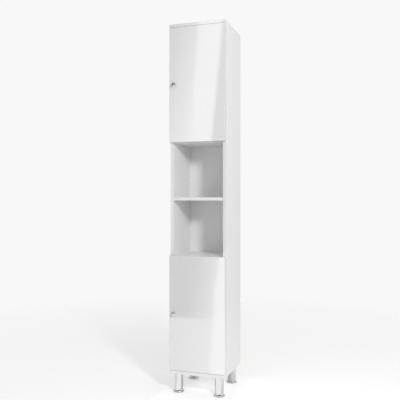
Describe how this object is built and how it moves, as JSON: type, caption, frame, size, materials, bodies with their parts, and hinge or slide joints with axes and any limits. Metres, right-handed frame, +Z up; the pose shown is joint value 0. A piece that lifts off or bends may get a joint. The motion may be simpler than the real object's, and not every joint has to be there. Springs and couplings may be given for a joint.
{
  "type": "tall bathroom cabinet",
  "caption": "Tall narrow free-standing bathroom cabinet: hinged door cupboards above and below an open shelved bay, on round levelling legs.",
  "frame": {"origin": "on the floor, under the middle of the whole outline with the knobs", "axes": "+Z up, doors face -Y, +X to the right of someone facing the doors"},
  "size_m": [0.3, 0.325, 1.9],
  "materials": {
    "white_board": "white melamine facing, satin",
    "white_door": "white, high gloss",
    "white_back": "white painted hardboard",
    "white_plastic": "extruded plastic",
    "zinc": "zinc die casting",
    "steel": "nickel plated steel",
    "beech": "grooved beech",
    "chrome": "polished chrome",
    "soft_bumper": "clear soft polyurethane"
  },
  "bodies": {
    "carcass": {"top_board": "white_board", "bottom_board": "white_board", "left_side_panel": "white_board", "right_side_panel": "white_board", "bay_top_board": "white_board", "bay_floor_board": "white_board", "upper_shelf": "white_board", "bay_shelf": "white_board", "lower_shelf": "white_board", "upper_back_sheet": "white_back", "middle_back_sheet": "white_back", "lower_back_sheet": "white_back", "upper_sheet_joiner": "white_plastic", "lower_sheet_joiner": "white_plastic", "cam_locks": "zinc", "cam_bolts": "steel", "shelf_pins": "steel", "wall_bracket": "steel", "wall_bracket_screws": "steel", "leg_mounting_plates": "steel", "leg_screws": "steel", "leg_nut_inserts": "steel", "upper_hinge_plates": "steel", "upper_hinge_arms": "steel", "lower_hinge_plates": "steel", "lower_hinge_arms": "steel", "arm_pins": "steel", "hinge_plate_screws": "steel", "hinge_arm_screws": "steel", "wooden_dowels": "beech", "front_left_leg_tube": "chrome", "front_right_leg_tube": "chrome", "rear_left_leg_tube": "chrome", "rear_right_leg_tube": "chrome"},
    "upper_door": {"upper_door_panel": "white_door", "upper_knob": "chrome", "upper_knob_screw": "steel", "upper_hinge_cups": "steel", "upper_cup_pins": "steel", "upper_cup_screws": "steel", "upper_door_bumpers": "soft_bumper"},
    "upper_links": {"upper_hinge_links": "steel"},
    "lower_door": {"lower_door_panel": "white_door", "lower_knob": "chrome", "lower_knob_screw": "steel", "lower_hinge_cups": "steel", "lower_cup_pins": "steel", "lower_cup_screws": "steel", "lower_door_bumpers": "soft_bumper"},
    "lower_links": {"lower_hinge_links": "steel"},
    "front_left_foot": {"front_left_foot": "chrome", "front_left_foot_stud": "steel"},
    "front_right_foot": {"front_right_foot": "chrome", "front_right_foot_stud": "steel"},
    "rear_left_foot": {"rear_left_foot": "chrome", "rear_left_foot_stud": "steel"},
    "rear_right_foot": {"rear_right_foot": "chrome", "rear_right_foot_stud": "steel"}
  },
  "joints": [
    {"name": "upper_door_link_turn", "type": "hinge", "parent": "carcass", "child": "upper_links", "pos_m": [0.1257, -0.1153, 1.5875], "axis": [0, 0, 1], "range_deg": [-43, 0]},
    {"name": "upper_door_swing", "type": "hinge", "parent": "upper_links", "child": "upper_door", "pos_m": [0.1406, -0.127, 1.5875], "axis": [0, 0, 1], "range_deg": [0, 142.8]},
    {"name": "lower_door_link_turn", "type": "hinge", "parent": "carcass", "child": "lower_links", "pos_m": [0.1257, -0.1153, 0.4125], "axis": [0, 0, 1], "range_deg": [-43, 0]},
    {"name": "lower_door_swing", "type": "hinge", "parent": "lower_links", "child": "lower_door", "pos_m": [0.1406, -0.127, 0.4125], "axis": [0, 0, 1], "range_deg": [0, 142.8]},
    {"name": "front_left_foot_level", "type": "slide", "parent": "carcass", "child": "front_left_foot", "axis": [0, 0, -1], "range_m": [0, 0.012]},
    {"name": "front_right_foot_level", "type": "slide", "parent": "carcass", "child": "front_right_foot", "axis": [0, 0, -1], "range_m": [0, 0.012]},
    {"name": "rear_left_foot_level", "type": "slide", "parent": "carcass", "child": "rear_left_foot", "axis": [0, 0, -1], "range_m": [0, 0.012]},
    {"name": "rear_right_foot_level", "type": "slide", "parent": "carcass", "child": "rear_right_foot", "axis": [0, 0, -1], "range_m": [0, 0.012]}
  ],
  "couplings": [
    {"joint": "upper_door_link_turn", "follows": "upper_door_swing", "ratio": -0.3},
    {"joint": "lower_door_link_turn", "follows": "lower_door_swing", "ratio": -0.3}
  ]
}
